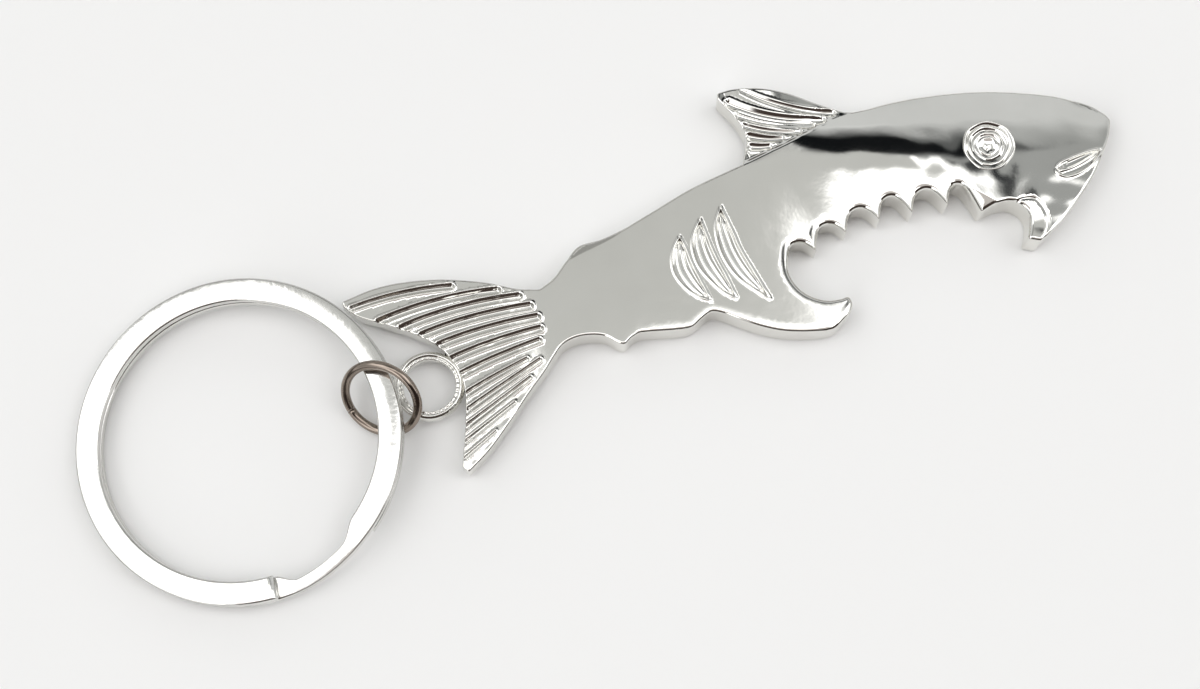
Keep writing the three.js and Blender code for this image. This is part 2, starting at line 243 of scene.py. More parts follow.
class Line:
    def __init__(self, points, closed=False):
        self.p, self.closed = np.array(points), closed
        self.tree = kdtree.KDTree(len(self.p))
        for i, (x, y) in enumerate(self.p):
            self.tree.insert((x, y, 0), i)
        self.tree.balance()
        step = np.diff(self.p, axis=0, append=self.p[:1] if closed else 2 * self.p[-1:] - self.p[-2:-1])
        step = unit(step)
        before = np.roll(step, 1, axis=0)
        if not closed:
            before[0] = step[0]
        self.tangent = step + before

    def nearest(self, q):
        """For each point: its distance, which side it is on (+ left), how far along, and the foot."""
        find = self.tree.find
        i = np.array([find((x, y, 0))[1] for x, y in q])
        n = len(self.p)
        best = np.full(len(q), np.inf)
        side, where, foot = np.zeros(len(q)), np.zeros(len(q)), np.zeros((len(q), 2))
        for step in (-1, 0):
            a, b = i + step, i + step + 1
            if self.closed:
                a, b = a % n, b % n
            else:
                a, b = np.clip(a, 0, n - 2), np.clip(a, 0, n - 2) + 1
            u, v = self.p[a], self.p[b] - self.p[a]
            t = np.clip(((q - u) * v).sum(1) / (v * v).sum(1), 0, 1)
            f = u + v * t[:, None]
            dist = np.linalg.norm(q - f, axis=1)
            closer = dist < best - 1e-9
            cross = v[:, 0] * (q - u)[:, 1] - v[:, 1] * (q - u)[:, 0]
            best = np.where(closer, dist, best)
            side = np.where(closer, np.sign(cross), side)
            where = np.where(closer, a + t, where)
            foot = np.where(closer[:, None], f, foot)
        corner = best > np.linalg.norm(q - self.p[i], axis=1) - 1e-9
        off = q - self.p[i]
        bend = self.tangent[i, 0] * off[:, 1] - self.tangent[i, 1] * off[:, 0]
        return best, np.where(corner, np.sign(bend), side), where, foot


def turn_sign(points):
    x, y = points.T
    return np.sign((x * np.roll(y, -1) - y * np.roll(x, -1)).sum())


inside_side = turn_sign(outline)
edge = Line(outline, closed=True)
print("the inside lies to the", "left" if inside_side > 0 else "right", "of the outline")

# %% [markdown]
# The plate is flat over the body. Towards the head it swells into a rounded cheek: from a soft crest
# it falls ever more steeply to the back edge, gently to the teeth, and down to the nose. Along the back
# a narrow step drops to the level of the dorsal fin, and the tail sinks gently to its fins.

# %% The plate and the cheek
PLATE = 3.6         # top of the flat plate
FIN = 3.0           # top of the fins
SHOULDER_LINE = [(-17, 3.3), (-15, 3.95), (-13, 3.9), (-11, 4.05), (-7.5, 4.7), (-2.8, 5.65), (-0.4, 6.1),
                 (2.2, 6.4), (4.5, 6.7), (6.2, 6.9), (8.6, 7.2), (10.7, 7.6), (13, 8.1), (15.4, 8.25),
                 (20, 8.1), (23.3, 7.65), (28.3, 6.45), (33.2, 4.6), (36.8, 2.8), (40.4, -0.6)]
CHEEK = {            # x of the drawing, then the crest's place and height, and the shapes of both falls
    "x": [-17, 4, 8.6, 13.3, 18, 24, 30, 36, 40.5],
    "crest": [3.0, 6.1, 4.6, 2.7, 0.9, -1.8, -3.0, -3.8, -4.2],
    "height": [3.6, 3.6, 3.64, 3.84, 4.14, 4.28, 4.12, 3.6, 3.15],
    "power": [2.0, 2.0, 2.2, 2.3, 2.2, 2.0, 1.9, 1.9, 1.9],
    "steep": [0.26, 0.07, 0.06, 0.38, 0.5, 0.47, 0.44, 0.4, 0.35],
    "lean": [0, 0.003, 0.024, 0.052, 0.06, 0.04, 0.03, 0.03, 0.03],
}
LEAN_REACH = 6.5    # how far below the crest the cheek goes on falling towards the teeth
DORSAL_STEP = 0.26  # the dorsal fin lies this much lower than the body beside it
SOFT_CREST = 0.6    # rounds the crest, in square millimetres
LEAN_FADE = 1.2     # how gently the lean ends past its reach


def shoulder(x):
    """The line between the body and the dorsal fin."""
    return through(x, *np.array(SHOULDER_LINE).T)


def tail_drop(x):
    """From the plate's level down to the fins'."""
    return (PLATE - FIN) * ramp(-x, 19.5, 27)


def plate_height(q):
    x, y = q.T
    top = shoulder(x)
    crest, height, power, steep, lean = (
        through(x, CHEEK["x"], CHEEK[k]) for k in ("crest", "height", "power", "steep", "lean"))
    width = np.maximum(top - crest, 0.3)
    up = np.clip((y - crest) / width, 0, 1)
    down = np.maximum(crest - y, 0)
    past = np.maximum(down - LEAN_REACH, 0)
    fall = np.sqrt(np.minimum(down, LEAN_REACH) ** 2 + SOFT_CREST) - math.sqrt(SOFT_CREST)
    fall = fall + LEAN_FADE * (1 - np.exp(-past / LEAN_FADE))
    z = height - width * steep / power * up ** power - lean * fall
    z -= DORSAL_STEP * ramp(y - top, -0.1, 0.45) * ramp(x, 2.2, 4.2) * (1 - ramp(x, 12, 15.5))
    return z - tail_drop(x)


print("plate", PLATE, "mm, fins", FIN, "mm, cheek up to", max(CHEEK["height"]), "mm")

# %% [markdown]
# The tail fin is lined with channels that follow its rays. Each is a slot with a sloping north wall, a
# steeper south one, a rounded end at the root and a slightly raised border, which catches the light as a
# bright thread. The dorsal
# fin has wider, softer flutes, each the hollow of a small gouge. A line down the middle of each one is
# enough: the distance to it gives the section.

# %% Rays of the fins


def ray(a, b, bulge):
    """A gently arched line from a to b."""
    a, b = np.array(a, float), np.array(b, float)
    out = np.array([-(b - a)[1], (b - a)[0]])
    return bezier(a, a + (b - a) / 3 + out * bulge, a + (b - a) * 2 / 3 + out * bulge, b, 56)


TAIL_RAYS = [   # from the root, to the free end, arch, half width at both ends
    ((-28.9, 4.75), (-39.0, 6.0), -0.05, 0.36, 0.3),
    ((-24.7, 2.75), (-36.9, 3.75), -0.055, 0.42, 0.42),
    ((-22.9, 1.35), (-35.0, 2.35), -0.055, 0.42, 0.42),
    ((-22.2, 0.0), (-33.3, 0.95), -0.05, 0.42, 0.42),
    ((-21.9, -1.35), (-32.0, -0.6), -0.045, 0.42, 0.42),
    ((-22.0, -2.55), (-31.3, -2.4), -0.04, 0.38, 0.42),
    ((-22.5, -3.65), (-31.0, -4.2), -0.03, 0.33, 0.4),
    ((-24.3, -5.0), (-31.3, -6.3), -0.02, 0.24, 0.36),
    ((-23.1, -5.55), (-31.8, -7.95), -0.01, 0.24, 0.36),
    ((-24.6, -6.9), (-32.4, -9.45), 0.0, 0.22, 0.34),
    ((-26.9, -8.75), (-33.0, -10.9), 0.0, 0.16, 0.28),
    ((-29.6, -10.8), (-33.4, -12.3), 0.0, 0.12, 0.18),
]
DORSAL_RAYS = [
    ((13.9, 8.9), (6.0, 14.2), 0.09, 0.34, 0.16),
    ((12.6, 8.55), (4.2, 13.3), 0.1, 0.38, 0.42),
    ((11.3, 8.35), (4.75, 11.75), 0.08, 0.36, 0.42),
    ((9.8, 8.1), (5.05, 10.4), 0.07, 0.34, 0.42),
    ((7.9, 7.95), (5.0, 9.2), 0.06, 0.3, 0.4),
    ((6.4, 7.55), (4.75, 8.1), 0.05, 0.22, 0.32),
]
RAY_DEPTH = 0.3
FLUTE_DEPTH = 0.3
FULL_HALF = 0.4     # a slot less than twice this wide is shallower
NORTH_WALL, SOUTH_WALL = 0.35, 0.2      # how wide each wall of a channel is
RIM = 0.045         # height of the raised border
REACH = 1.4         # beyond this a ray has no effect


def near(q, line, reach=REACH):
    low, high = line.min(axis=0) - reach, line.max(axis=0) + reach
    return np.flatnonzero(((q > low) & (q < high)).all(axis=1))


tail_lines = [Line(ray(a, b, arch)) for a, b, arch, _, _ in TAIL_RAYS]
dorsal_lines = [Line(ray(a, b, arch)) for a, b, arch, _, _ in DORSAL_RAYS]


def cut_rays(q, z, rays, lines, hollow):
    for (_, _, _, root, free), line in zip(rays, lines):
        i = near(q, line.p)
        if len(i) == 0:
            continue
        dist, side, where, _ = line.nearest(q[i])
        half = root + (free - root) * where / (len(line.p) - 1)
        z[i] += hollow(dist, half, side)


def straight_wall(x, low, high):
    """Rises from 0 to 1 between low and high, nearly straight, with only its ends eased."""
    return 0.65 * np.clip((x - low) / (high - low), 0, 1) + 0.35 * ramp(x, low, high)


def channel(dist, half, side):
    """A slot whose north wall slopes at about 40 degrees, its south wall steeper, with a rim."""
    wall = np.minimum(np.where(side < 0, NORTH_WALL, SOUTH_WALL), 0.9 * half)
    inside = 1 - straight_wall(dist, half - wall, half)
    return -RAY_DEPTH * np.minimum(half / FULL_HALF, 1) * inside + RIM * bell(dist - half, 0.08, 0.1)


def flute(dist, half, _side):
    """A round hollow, the same on both sides, with half as high a rim."""
    depth = FLUTE_DEPTH * np.minimum(half / FULL_HALF, 1)
    t = np.clip(dist / (half + 0.12), 0, 1)
    return -depth * (1 - t * t) ** 1.4 + 0.5 * RIM * bell(dist - half, 0.22, 0.14)


print(len(tail_lines), "rays in the tail,", len(dorsal_lines), "in the dorsal fin")

# %% [markdown]
# Three gill slits, the mouth and the groove behind the hook are the drawn details of the body. A gill is
# a crescent with a thin raised border, two ribs inside it and its deepest point at the upper end. Its
# height depends on how far a point lies across from the left border to the right one.

# %% Gills and mouth
GILLS = [
    ([(-5.6, 1.75), (-6.9, 0.3), (-7.5, -1.7), (-7, -3.6), (-6, -5.0), (-5, -5.75)],
     [(-5.6, 1.75), (-5.45, 0.5), (-5.45, -1.2), (-5.35, -2.7), (-5.15, -4.4), (-5, -5.75)]),
    ([(-3, 2.75), (-4.6, 0.8), (-5, -1.7), (-4.2, -4.2), (-3.3, -5.7), (-2.5, -6.45)],
     [(-3, 2.75), (-3.0, 0.9), (-3, -0.6), (-2.9, -2.3), (-2.7, -3.9), (-2.5, -6.45)]),
    ([(-0.6, 3.25), (-1.8, 1.5), (-2.3, -1.4), (-1.8, -4.1), (-0.6, -6.1), (0.6, -7.65)],
     [(-0.6, 3.25), (-0.5, 1.6), (-0.4, -0.2), (-0.35, -1.7), (0.1, -4.6), (0.6, -7.65)]),
]
MOUTH = ([(32.65, -4.9), (33.2, -4.5), (34.5, -4.3), (36.0, -4.2), (37.4, -4.25), (38.2, -4.4)],
         [(32.65, -4.9), (32.75, -5.45), (33.3, -5.95), (34.4, -6.1), (35.9, -5.8), (37.1, -5.25),
          (38.2, -4.4)])
slits = [(Line(curve(a, 0.08)), Line(curve(b, 0.08))) for a, b in GILLS]
mouth = tuple(Line(curve(m, 0.08)) for m in MOUTH)
GILL_RIBS = (0.36, 0.68)    # where the two ribs lie, as shares of the way across


def sink_slit(q, z, borders, depth, rim, ribs, sharp_end):
    a, b = borders
    i = near(q, np.vstack([a.p, b.p]), 0.6)
    if len(i) == 0:
        return
    da, side_a, where, _ = a.nearest(q[i])
    db, side_b, where_b, _ = b.nearest(q[i])
    last = len(a.p) - 1
    within = (side_a != side_b) & (where > 0) & (where < last) & (where_b > 0) & (where_b < len(b.p) - 1)
    wide = da + db
    near_border = np.minimum(da, db)
    border = bell(near_border, 0.02, 0.1) * rim * (0.25 + 0.75 * ramp(wide, 0.15, 0.5))
    deep = ramp(near_border, 0.07, 0.24) * depth
    if sharp_end:
        deep = deep * (1 + 0.8 * (1 - ramp(where / last, 0.04, 0.16)))
    across = da / np.maximum(wide, 1e-6)
    for rib in ribs:
        deep = deep - 0.5 * depth * np.exp(-(((across - rib) * wide / 0.12) ** 2)) * ramp(wide, 0.45, 0.9)
    z[i] += border - np.where(within, deep, 0)


longest = max(lengthwise(a.p)[-1] for a, _ in slits)
print(len(slits), "gill slits, the longest", round(longest, 1), "mm, and a mouth")

# %% [markdown]
# Behind the hook a bright crescent facet slopes to the inner edge and ends at a dark scribed line, and the
# tooth next to it has a broad flat of its own. Both are surfaces that a file would leave.

# %% Hook and front tooth
HOOK_LINE = curve([(27.1, -6.75), (27.5, -6.75), (28.1, -6.7), (28.8, -6.8), (29.4, -7.1), (29.75, -7.8),
                   (29.9, -8.7), (29.8, -9.5), (29.5, -10.3), (28.8, -11.1), (27.8, -12.2)], 0.06)
hook_line = Line(HOOK_LINE)
flat_line = Line(curve([(21.9, -2.5), (22.9, -3.1), (24.2, -4.4), (25.6, -6.05)], 0.08))


def file_hook(q, z):
    i = near(q, hook_line.p, 2.2)
    dist, side, _, _ = hook_line.nearest(q[i])
    toward_edge = np.where(side > 0, -dist, dist)      # + on the hook's inner side
    x, y = q[i].T
    here = ramp(x, 26.6, 27.3) * (1 - ramp(x, 30.2, 30.8)) * (1 - ramp(y, -6.9, -6.3) * ramp(x, 28.2, 29.2))
    groove = -0.14 * bell(toward_edge, 0.0, 0.13)
    facet = -0.05 - 0.17 * np.clip(toward_edge, 0, 1.6)
    z[i] += here * np.where(toward_edge > -0.4, groove + ramp(toward_edge, 0.0, 0.14) * facet, 0)


def file_tooth(q, z):
    i = near(q, flat_line.p, 2.6)
    dist, side, _, _ = flat_line.nearest(q[i])
    x, y = q[i].T
    below = np.where(side < 0, dist, 0)
    here = ramp(x, 21.7, 22.5) * (1 - ramp(x, 25.4, 25.9))
    z[i] -= here * 0.5 * np.minimum(below, 2.2)


print("scribed line behind the hook:", round(lengthwise(HOOK_LINE)[-1], 1), "mm long")

# %% [markdown]
# Now the two faces. The front has everything. The back was in the plain half of the mould: it is flat, with
# the same slots in its fins and gills but no cheek and no eye, so that it lies steady on a table.
# Faint waves all over, too low to see by themselves, bend the reflections as polishing by hand does.

# %% Heights of both faces


def waves(q, size, seed):
    """Soft random waves between -1 and 1, of about the given size in millimetres."""
    rng = np.random.default_rng(seed)
    z = np.zeros(len(q))
    for _ in range(14):
        angle = rng.uniform(0, 2 * math.pi)
        phase = rng.uniform(0, 2 * math.pi)
        stretch = rng.uniform(0.7, 1.5)
        way = np.array([math.cos(angle), math.sin(angle)]) * 2 * math.pi / (size * stretch)
        z += np.sin(q @ way + phase)
    return z / 14


def front(q):
    """Height of the front at drawing points q, before its edge is rounded."""
    z = plate_height(q)
    head = ramp(q[:, 0], 8, 20)
    z += 0.016 * waves(q, 9, 1) + (0.003 + 0.03 * head) * waves(q, 2.6, 2)
    z += 0.012 * ramp(-q[:, 0], 22.5, 25) * waves(q, 1.0, 5)
    cut_rays(q, z, TAIL_RAYS, tail_lines, channel)
    cut_rays(q, z, DORSAL_RAYS, dorsal_lines, flute)
    for borders in slits:
        sink_slit(q, z, borders, 0.24, 0.07, GILL_RIBS, True)
    sink_slit(q, z, mouth, 0.26, 0.1, (0.5,), False)
    file_hook(q, z)
    file_tooth(q, z)
    return z


def back(q):
    """Height of the underside: 0 is the table, and its slots are shallower than the front's."""
    x, y = q.T
    z = tail_drop(x) + 0.35 * ramp(y - shoulder(x), 0, 0.5)
    z -= 0.012 * waves(q, 9, 3)
    cut = np.zeros(len(q))
    cut_rays(q, cut, TAIL_RAYS, tail_lines, channel)
    cut_rays(q, cut, DORSAL_RAYS, dorsal_lines, flute)
    for borders in slits:
        sink_slit(q, cut, borders, 0.25, 0.05, GILL_RIBS, True)
    return np.maximum(z - 0.7 * cut, 0.0)


print("polishing waves at the origin:", np.round(waves(np.zeros((1, 2)), 9, 1), 3))

# %% [markdown]
# The mesh over the drawing. Rows of points follow the outline close together where the edge turns over,
# more rows follow each slot's walls, and a net of points fills the rest, fine over the relief and wide over
# the plain plate. A Delaunay triangulation joins them, and both faces share it.

# %% Points of the mesh


def beside(line, offset, closed=False):
    """The line moved to its left by offset."""
    way = np.roll(line, -1, axis=0) - np.roll(line, 1, axis=0) if closed else np.gradient(line, axis=0)
    way = unit(way)
    return line + offset * np.stack([-way[:, 1], way[:, 0]], axis=1)


def gap_inside(q):
    dist, side, where, foot = edge.nearest(q)
    return dist * np.where(side == inside_side, 1, -1), where, foot


def edge_rows():
    rows = []
    for depth in (0.03, 0.08, 0.16, 0.27, 0.42, 0.6):
        row = beside(outline, depth * inside_side, closed=True)
        gap, _, _ = gap_inside(row)
        rows.append(row[gap > depth * 0.93])
    return np.vstack(rows)


def slot_rows(rays, lines, offsets):
    rows = []
    for (_, _, _, root, free), line in zip(rays, lines):
        t = np.linspace(0, 1, len(line.p))
        half = root + (free - root) * t
        way = unit(np.gradient(line.p, axis=0))
        across = np.stack([-way[:, 1], way[:, 0]], axis=1)
        for k in offsets:
            if root + k < 0.03:
                continue
            rows += [line.p + s * (half + k)[:, None] * across for s in (-1, 1)]
            turn = np.linspace(-math.pi / 2, math.pi / 2, 11)[1:-1, None]
            rows.append(line.p[0] + (root + k) * (-way[0] * np.cos(turn) + across[0] * np.sin(turn)))
        rows.append(line.p)
    return np.vstack(rows)


def even(line, step=0.12):
    run = lengthwise(line)
    s = np.linspace(0, run[-1], max(2, round(run[-1] / step)))
    return np.stack([np.interp(s, run, line[:, k]) for k in (0, 1)], axis=1)


def resample(line, n):
    """The line again with n points."""
    at, own = np.linspace(0, 1, n), np.linspace(0, 1, len(line))
    return np.stack([np.interp(at, own, line[:, k]) for k in (0, 1)], axis=1)


def drawn_rows():
    rows = []
    for a, b in slits + [mouth]:
        for line in (a, b):
            rows += [beside(even(line.p), k) for k in (-0.22, -0.1, -0.04, 0.0, 0.04, 0.1, 0.22)]
        along_a, along_b = even(a.p), even(b.p)
        n = min(len(along_a), len(along_b))
        along_a, along_b = resample(along_a, n), resample(along_b, n)
        rows += [along_a * (1 - f) + along_b * f for f in np.linspace(0.2, 0.8, 11)]
    rows += [beside(even(hook_line.p), k) for k in (-0.2, -0.09, 0.0, 0.09, 0.2)]
    rows += [beside(even(flat_line.p), k) for k in (-0.1, 0.0, 0.1)]
    x = np.arange(-16, 16, 0.16)
    line = np.stack([x, shoulder(x)], axis=1)
    rows += [line + (0, k) for k in (-0.3, -0.17, -0.07, 0.02, 0.11, 0.2, 0.3, 0.42, 0.55)]
    return np.vstack(rows)


def net(spacing, wanted):
    low, high = outline.min(axis=0), outline.max(axis=0)
    ys = np.arange(low[1], high[1], spacing * math.sqrt(3) / 2)
    rows = []
    for k, y in enumerate(ys):
        xs = np.arange(low[0] + (k % 2) * spacing / 2, high[0], spacing)
        rows.append(np.stack([xs, np.full(len(xs), y)], axis=1))
    q = np.vstack(rows)
    return q[wanted(q)]


def over_relief(q):
    x, y = q.T
    line = shoulder(x)
    return (x < -21) | ((y > line - 0.4) & (x > 2.5) & (x < 15)) | (
        (x > -8) & (x < 1.5) & (y < 4) & (y > -8.2)) | ((x > 21.5) & (x < 31) & (y < -2)) | (
        (x > 31.5) & (x < 38.8) & (y < -3.3) & (y > -7))


def thin_out(points, keep_off, least):
    """Drops points that crowd earlier ones."""
    tree = kdtree.KDTree(len(keep_off))
    for i, (x, y) in enumerate(keep_off):
        tree.insert((x, y, 0), i)
    tree.balance()
    far = np.array([tree.find((x, y, 0))[2] for x, y in points])
    return points[far > least]


def drop_twins(points, least):
    cell = np.round(points / least).astype(int)
    _, first = np.unique(cell, axis=0, return_index=True)
    return points[np.sort(first)]


def clear_of_slots(q):
    clear = np.ones(len(q), bool)
    for rays, lines in ((TAIL_RAYS, tail_lines), (DORSAL_RAYS, dorsal_lines)):
        for (_, _, _, root, free), line in zip(rays, lines):
            i = near(q, line.p, 0.8)
            if len(i):
                dist, _, where, _ = line.nearest(q[i])
                clear[i] &= dist > root + (free - root) * where / (len(line.p) - 1) + 0.24
    for a, b in slits + [mouth]:
        i = near(q, np.vstack([a.p, b.p]), 0.4)
        if len(i) == 0:
            continue
        da, side_a, _, _ = a.nearest(q[i])
        db, side_b, _, _ = b.nearest(q[i])
        clear[i] &= (side_a == side_b) & (np.minimum(da, db) > 0.24)
    return clear


def mesh_points():
    rows = thin_out(edge_rows(), outline, 0.024)
    tail = slot_rows(TAIL_RAYS, tail_lines, (-0.35, -0.28, -0.21, -0.14, -0.07, 0.0, 0.05, 0.1, 0.18))
    dorsal = slot_rows(DORSAL_RAYS, dorsal_lines, (-0.25, -0.12, 0.0, 0.08, 0.15, 0.24, 0.34))
    guide = np.vstack([tail, dorsal, drawn_rows()])
    guide = drop_twins(guide, 0.035)
    gap, _, _ = gap_inside(guide)
    guide = thin_out(guide[gap > 0.1], np.vstack([rows, outline]), 0.06)
    fixed = np.vstack([outline, rows, guide])
    fine = net(0.19, over_relief)
    wide = net(0.42, lambda q: ~over_relief(q))
    parts = [fixed]
    for part, least in ((fine, 0.11), (wide, 0.24)):
        gap, _, _ = gap_inside(part)
        part = part[(gap > 0.15) & clear_of_slots(part)]
        parts.append(thin_out(part, np.vstack(parts), least))
    return np.vstack(parts)


points = mesh_points()
print("mesh points:", len(points))

# %% [markdown]
# The edge of a face turns over in a quarter circle. Its shading normals are worked out from the heights
# themselves, not from the triangles, because a mirror finish would show every triangle. The side wall
# swells outward a little at half its height, where the two halves of the mould met.

# %% The casting


def join_up(points, ring):
    edges = [(i, (i + 1) % ring) for i in range(ring)]
    out, _, faces, origin, _, _ = delaunay_2d_cdt([Vector(p) for p in points], edges, [], 1, 1e-5, True)
    first = {}
    for new, olds in enumerate(origin):
        for old in olds:
            first.setdefault(old, new)
    out, faces = np.array([tuple(v) for v in out]), np.array(faces)
    gap, _, _ = gap_inside(out[faces].mean(axis=1))
    return out, faces[gap > 0], np.array([first[i] for i in range(ring)])


SINK_REACH = 1.1        # how far in from the outline the face starts to sink
SLOPE_STEP = 0.02       # either side of a point, to measure its slope
DRAFT = 0.015           # how far the side wall swells at its middle


def face_surface(q, height, way):
    """Heights, edge rounding and normals of one face; way is +1 for the front, -1 for the back."""
    gap, where, foot = gap_inside(q)
    gap = np.maximum(gap, 0)
    at = np.clip(where, 0, len(outline) - 1).astype(int)
    radius, sink = edge_radius[at], edge_sink[at]

    def sunk(p):
        g, _, _ = gap_inside(p)
        return height(p) - way * sink * (1 - ramp(g, 0, SINK_REACH)) ** 2

    z = sunk(q)
    rises = [sunk(q + step) - sunk(q - step) for step in ((SLOPE_STEP, 0), (0, SLOPE_STEP))]
    slope = np.stack(rises, axis=1) / (2 * SLOPE_STEP)
    turn = np.clip(1 - gap / radius, 0, 1)
    z_round = radius * (1 - np.sqrt(1 - turn ** 2))
    out = foot - q
    length = np.linalg.norm(out, axis=1)
    on_ring = length < 1e-6
    out[~on_ring] /= length[~on_ring, None]
    normal = unit(np.concatenate([-slope, np.ones((len(q), 1))], axis=1))
    return z, z_round, normal, out, turn


def casting_mesh():
    q, faces, ring = join_up(points, len(outline))
    a, b, c = (q[faces[:, k]] for k in range(3))
    flipped = np.cross(b - a, c - a) < 0
    faces[flipped] = faces[flipped][:, ::-1]
    ring_out = beside(outline, -inside_side, closed=True) - outline
    sides = []
    for height, way in ((front, 1), (back, -1)):
        z, z_round, normal, out, turn = face_surface(q, height, way)
        out[ring] = ring_out
        turn[ring] = 1.0
        z = z - way * z_round
        normal = normal * (1, 1, way)
        up = np.sqrt(np.clip(1 - turn ** 2, 0, 1))[:, None]
        normal = normal * up + np.concatenate([out, np.zeros((len(q), 1))], axis=1) * turn[:, None]
        normal /= np.maximum(np.linalg.norm(normal, axis=1), 1e-9)[:, None]
        sides.append((z, normal))
    return q, faces, ring, ring_out, sides


q, faces, ring, ring_out, sides = casting_mesh()
print("triangles in one face:", len(faces))


def build_casting():
    n, r = len(q), len(ring)
    (z_top, n_top), (z_low, n_low) = sides
    plan = q + DRAWING_SHIFT
    top = np.column_stack([plan, z_top])
    low = np.column_stack([plan, z_low])
    mid, high = 0.5 * (z_top[ring] + z_low[ring]), z_top[ring] - z_low[ring]
    walls = []
    for share, out in ((0.18, 0.6), (0.02, 1.0), (-0.02, 1.0), (-0.18, 0.6)):
        line = (outline + ring_out * DRAFT * out) + DRAWING_SHIFT
        walls.append(np.column_stack([line, mid + share * high]))
    verts = np.vstack([top, low] + walls)
    side_normal = np.column_stack([ring_out, np.zeros(r)])
    normals = np.vstack([n_top, n_low] + [side_normal] * len(walls))
    tris = [tuple(f) for f in faces] + [tuple(f[::-1] + n) for f in faces]
    rings = [ring] + [np.arange(r) + 2 * n + k * r for k in range(len(walls))] + [ring + n]
    quads = []
    for above, under in zip(rings, rings[1:]):
        for i in range(r):
            j = (i + 1) % r
            face = (above[i], under[i], under[j], above[j])
            quads.append(face if inside_side > 0 else face[::-1])
    mesh = bpy.data.meshes.new("shark_casting")
    mesh.from_pydata((verts * MM).tolist(), [], [tuple(int(v) for v in f) for f in tris + quads])
    mesh.validate()
    mesh.shade_smooth()
    mesh.normals_split_custom_set_from_vertices(normals.tolist())
    piece = bpy.data.objects.new("shark_casting", mesh)
    bpy.context.scene.collection.objects.link(piece)
    return piece


casting = build_casting()
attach(casting, "opener")
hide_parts("shark_opener_casting")
triangles = sum(len(f.vertices) - 2 for f in casting.data.polygons)
print("casting:", len(casting.data.vertices), "vertices,", triangles, "triangles")

# %% [markdown]
# The eye, the eyelet and the jump ring are turned like lathe parts: a section is drawn and spun round
# with the Spin tool.

# %% Turned pieces


def new_object(name, primitive, **settings):
    bpy.ops.object.select_all(action="DESELECT")
    primitive(**settings)
    piece = bpy.context.object
    piece.name = piece.data.name = name
    return piece


def section_piece(name, section):
    """A closed wire section in the XZ plane, made from a circle of as many points."""
    piece = new_object(name, bpy.ops.mesh.primitive_circle_add, vertices=len(section), radius=MM)
    for vertex, (x, z) in zip(piece.data.vertices, section):
        vertex.co = (x * MM, 0, z * MM)
    return piece


def spin(piece, steps, angle, cap=False):
    bpy.ops.object.mode_set(mode="EDIT")
    bpy.ops.mesh.select_all(action="SELECT")
    if cap:
        bpy.ops.mesh.edge_face_add()
    bpy.ops.mesh.spin(steps=steps, angle=angle, center=(0, 0, 0), axis=(0, 0, 1), use_auto_merge=False)
    bpy.ops.mesh.select_all(action="SELECT")
    bpy.ops.mesh.remove_doubles(threshold=0.000002)
    bpy.ops.mesh.delete_loose(use_verts=True, use_edges=True, use_faces=False)
    bpy.ops.object.mode_set(mode="OBJECT")
    return face_outward(piece)


def face_outward(piece):
    bpy.ops.object.mode_set(mode="EDIT")
    bpy.ops.mesh.select_all(action="SELECT")
    bpy.ops.mesh.normals_make_consistent(inside=False)
    bpy.ops.object.mode_set(mode="OBJECT")
    return piece


def finish_piece(piece, matrix, body, replaced=None):
    piece.data.transform(matrix)
    piece.data.shade_smooth()
    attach(piece, body)
    if replaced:
        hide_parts(replaced)
    print(piece.name, len(piece.data.polygons), "faces")


def in_frame(point, z):
    """A point of the drawing, in the frame, in metres."""
    return Vector((point[0] + DRAWING_SHIFT[0], point[1] + DRAWING_SHIFT[1], z)) * MM


print("the drawing's origin in the frame:", tuple(round(v, 5) for v in in_frame((0, 0), 0)))

# %% [markdown]
# The eye is a round boss of rings, one inside another. After spinning, its inner rings are pushed to one
# side and all are made a little uneven. A small three-sided pupil sits in the middle.

# %% The eye
EYE_PLACE = (27.15, -0.35)
EYE_SECTION = [(0.0, 0.0), (0.35, -0.02), (0.62, -0.03), (0.8, 0.06), (0.92, 0.1), (1.02, 0.02), (1.12, 0.0),
               (1.24, 0.13), (1.38, 0.18), (1.5, 0.1), (1.6, -0.04), (1.74, -0.05), (1.86, 0.1), (2.0, 0.17),
               (2.12, 0.08), (2.2, -0.04), (2.28, -0.02), (2.38, 0.12), (2.5, 0.19), (2.6, 0.14),
               (2.66, -0.05), (2.72, -1.0), (0.0, -1.0)]
EYE_TILT = (-0.04, -0.03)       # how far it leans west and south of straight up
EYE_RISE = 0.16
PUPIL_SHIFT = -0.24             # the inner rings and the pupil are this far off centre


def eye_frame():
    """Where the eye sits on the front, its Z along the way it looks."""
    height = float(plate_height(np.array([EYE_PLACE]))[0])
    turn = Vector((0, 0, 1)).rotation_difference(Vector((*EYE_TILT, 1))).to_matrix().to_4x4()
    return Matrix.Translation(in_frame(EYE_PLACE, height + EYE_RISE)) @ turn


